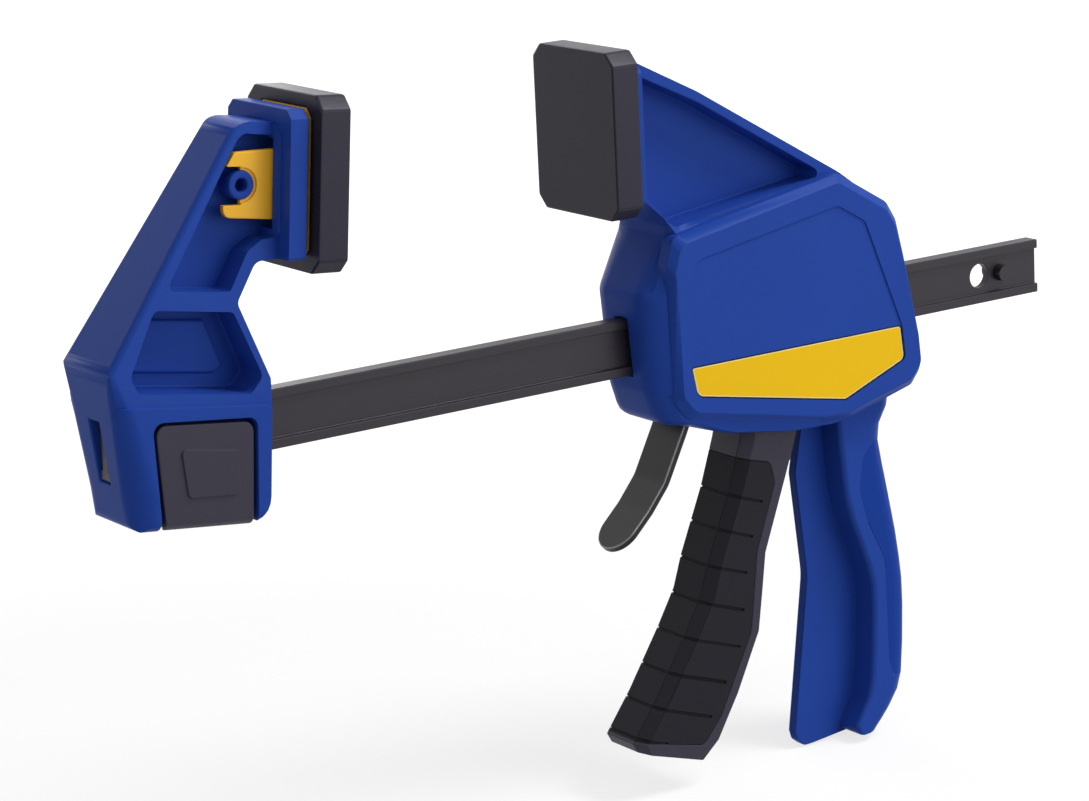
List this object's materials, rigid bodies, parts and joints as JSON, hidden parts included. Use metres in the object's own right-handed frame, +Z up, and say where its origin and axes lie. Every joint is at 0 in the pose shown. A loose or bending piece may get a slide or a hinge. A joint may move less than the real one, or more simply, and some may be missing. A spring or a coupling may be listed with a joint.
{
  "type": "quick release bar clamp",
  "caption": "One-handed quick release bar clamp: a fixed jaw with a swivelling pad, latched to a steel bar, and a moving jaw with pistol grip, trigger and release lever.",
  "frame": {"origin": "on the bar's centreline, under the middle of the fixed pad's clamping face", "axes": "+X along the bar from the fixed jaw to the tail, +Y across the clamp away from the button's face, +Z up through the jaws"},
  "size_m": [0.3954, 0.0474, 0.268],
  "materials": {
    "black_steel": "black oxide, satin",
    "bright_steel": "plain zinc",
    "plate_steel": "hardened, dull",
    "blue_plastic": "satin glass-filled nylon",
    "blue_skin": "soft moulded skin",
    "dark_plastic": "satin",
    "dark_skin": "soft moulded skin",
    "yellow_plastic": "satin",
    "soft_pad": "soft, fine grain",
    "label": "plain film"
  },
  "bodies": {
    "frame": {"bar": "black_steel", "stop_pin": "black_steel", "fixed_jaw": "blue_plastic", "button_spring": "bright_steel"},
    "button": {"lock_button": "dark_plastic", "lock_pin": "bright_steel"},
    "swivel_pad": {"pad_carrier": "yellow_plastic", "fixed_pad": "soft_pad"},
    "jaw": {"moving_jaw": "blue_plastic", "moving_pad": "soft_pad", "label_near": "label", "label_far": "label", "palm_grip": "blue_skin", "pivot_pin": "bright_steel", "drive_spring": "bright_steel", "brake_spring": "bright_steel"},
    "trigger": {"trigger": "dark_plastic", "trigger_grip": "dark_skin"},
    "drive_plate": {"drive_plate": "plate_steel"},
    "release_lever": {"release_lever": "black_steel"}
  },
  "joints": [
    {"name": "button_press", "type": "slide", "parent": "frame", "child": "button", "axis": [0, 1, 0], "range_m": [0, 0.0046], "stiffness_N_per_m": 400, "springref_m": -0.003, "deforming": ["button_spring"]},
    {"name": "pad_swivel", "type": "hinge", "parent": "frame", "child": "swivel_pad", "pos_m": [-0.03226, 0, 0.07939], "axis": [0, 1, 0], "range_deg": [-5.3, 4]},
    {"name": "jaw_slide", "type": "slide", "parent": "frame", "child": "jaw", "axis": [1, 0, 0], "range_m": [-0.099, 0.051]},
    {"name": "trigger_pull", "type": "hinge", "parent": "jaw", "child": "trigger", "pos_m": [0.19, 0, 0.024], "axis": [0, -1, 0], "range_deg": [0, 13.6], "stiffness_Nm_per_rad": 1.2, "springref_deg": -6.88},
    {"name": "drive_plate_push", "type": "slide", "parent": "jaw", "child": "drive_plate", "axis": [1, 0, 0], "range_m": [0, 0.00696], "deforming": ["drive_spring"]},
    {"name": "lever_release", "type": "hinge", "parent": "jaw", "child": "release_lever", "pos_m": [0.1472, 0, 0.0205], "axis": [0, -1, 0], "range_deg": [0, 7], "stiffness_Nm_per_rad": 0.5, "springref_deg": -5.73, "deforming": ["brake_spring"]}
  ],
  "couplings": [
    {"joint": "drive_plate_push", "follows": "trigger_pull", "m_per_rad": 0.0293}
  ]
}
